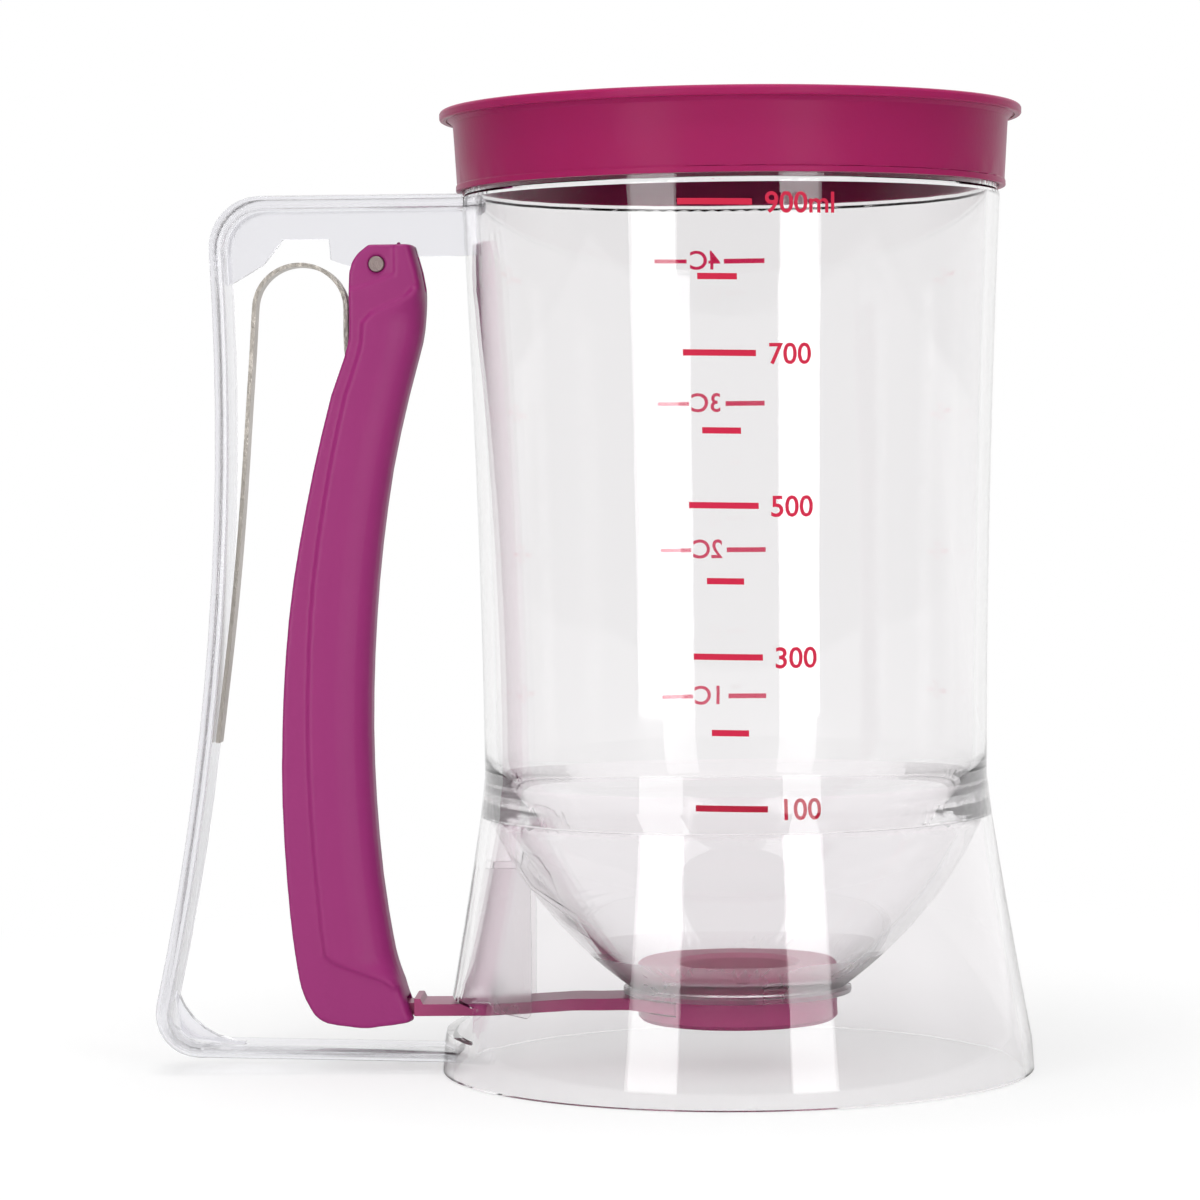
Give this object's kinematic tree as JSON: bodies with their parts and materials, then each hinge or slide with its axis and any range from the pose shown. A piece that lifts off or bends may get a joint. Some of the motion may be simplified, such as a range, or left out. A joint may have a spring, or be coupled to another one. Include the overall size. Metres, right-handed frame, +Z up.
{
  "type": "pancake batter dispenser",
  "caption": "Clear measuring jug with a funnel floor, a plum lid, and a sprung squeeze lever that slides a gate open under the outlet to drop batter.",
  "frame": {"origin": "on the table, under the middle of the dispenser's box; the barrel's axis stands 27.7 mm towards +X from it", "axes": "+Z up along the barrel, the handle and lever towards -X, mirror-symmetric about the XZ plane"},
  "size_m": [0.1704, 0.115, 0.1858],
  "materials": {
    "lid": "smooth satin moulding",
    "barrel": "clear, polished, with a printed scale",
    "skirt": "clear, polished",
    "handle_frame": "clear, polished",
    "trigger_lever": "satin moulding",
    "pivot_pin": "plain ground steel",
    "return_spring": "dull rolled strip",
    "gate_slide": "satin moulding",
    "outlet_seat": "satin moulding",
    "valve_housing": "satin moulding"
  },
  "bodies": {
    "container": {"barrel": "barrel", "skirt": "skirt", "handle_frame": "handle_frame", "outlet_seat": "outlet_seat", "valve_housing": "valve_housing", "return_spring": "return_spring"},
    "lid": {"lid": "lid"},
    "trigger": {"trigger_lever": "trigger_lever", "pivot_pin": "pivot_pin"},
    "gate": {"gate_slide": "gate_slide"}
  },
  "joints": [
    {"name": "lid_lift", "type": "slide", "parent": "container", "child": "lid", "axis": [0, 0, 1], "range_m": [0, 0.06]},
    {"name": "lever_pivot", "type": "hinge", "parent": "container", "child": "trigger", "pos_m": [-0.0406, 0, 0.1565], "axis": [0, 1, 0], "range_deg": [0, 7], "stiffness_Nm_per_rad": 2, "springref_deg": -5.73, "deforming": ["return_spring"]},
    {"name": "gate_travel", "type": "slide", "parent": "container", "child": "gate", "axis": [-1, 0, 0], "range_m": [0, 0.0178]}
  ],
  "couplings": [
    {"joint": "gate_travel", "follows": "lever_pivot", "m_per_rad": 0.1438}
  ]
}
